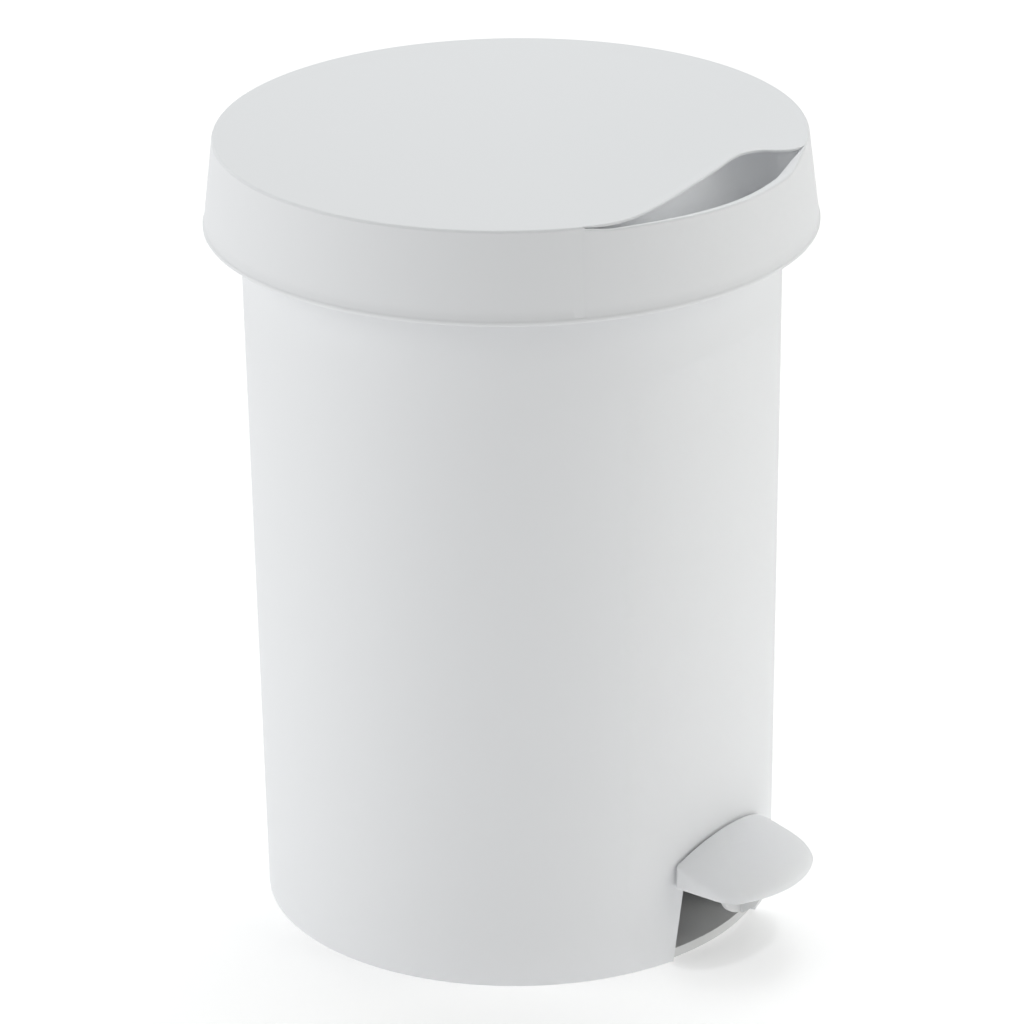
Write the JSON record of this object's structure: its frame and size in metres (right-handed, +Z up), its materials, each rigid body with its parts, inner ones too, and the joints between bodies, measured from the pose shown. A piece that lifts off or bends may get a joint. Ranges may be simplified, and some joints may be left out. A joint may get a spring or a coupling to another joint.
{
  "type": "pedal trash can",
  "caption": "Round tapered pedal bin with a hinged lid, finger recess, lift-out bucket with bail handle, and a pedal lever that raises the lid through a rod.",
  "frame": {"origin": "on the floor at the axis of the round body", "axes": "+Z up along the body's axis, pedal towards -Y, lid hinge towards +Y, +X to the right as the pedal is seen from the front"},
  "size_m": [0.2108, 0.2231, 0.28],
  "materials": {
    "white_plastic": "satin moulded white plastic",
    "grey_plastic": "satin moulded pale grey plastic",
    "steel": "bright zinc-plated wire and screws",
    "rubber": "matt dark grey"
  },
  "bodies": {
    "shell": {"outer_body": "white_plastic", "base_plate": "white_plastic", "base_screws": "steel", "anti_slip_pads": "rubber", "pedal_axle": "steel", "axle_clips": "steel", "rod_guide": "white_plastic", "guide_screws": "steel", "hinge_bracket": "white_plastic", "hinge_screws": "steel", "hinge_pin": "steel", "hinge_pin_caps": "white_plastic", "inner_bucket": "grey_plastic", "handle_bushes": "grey_plastic"},
    "handle": {"bucket_handle": "steel", "handle_grip": "grey_plastic"},
    "pedal": {"pedal_lever": "white_plastic", "pedal_pad": "white_plastic", "pedal_screws": "steel"},
    "lid": {"lid": "white_plastic", "lift_bracket": "white_plastic", "bracket_screws": "steel", "lid_bumpers": "rubber"},
    "rod": {"lift_rod": "steel", "rod_lower_clip": "steel", "rod_upper_clip": "steel"}
  },
  "joints": [
    {"name": "lid_hinge", "type": "hinge", "parent": "shell", "child": "lid", "pos_m": [0, 0.0975, 0.254], "axis": [-1, 0, 0], "range_deg": [0, 75]},
    {"name": "pedal_press", "type": "hinge", "parent": "shell", "child": "pedal", "pos_m": [0, -0.038, 0.019], "axis": [1, 0, 0], "range_deg": [0, 11.52]},
    {"name": "rod_pivot", "type": "hinge", "parent": "lid", "child": "rod", "pos_m": [0, 0.0818, 0.24195], "axis": [1, 0, 0], "range_deg": [0, 75]},
    {"name": "handle_swing", "type": "hinge", "parent": "shell", "child": "handle", "pos_m": [0, 0, 0.248], "axis": [1, 0, 0], "range_deg": [-80, 80]}
  ],
  "couplings": [
    {"joint": "pedal_press", "follows": "lid_hinge", "ratio": 0.15352},
    {"joint": "rod_pivot", "follows": "lid_hinge", "ratio": 1}
  ]
}
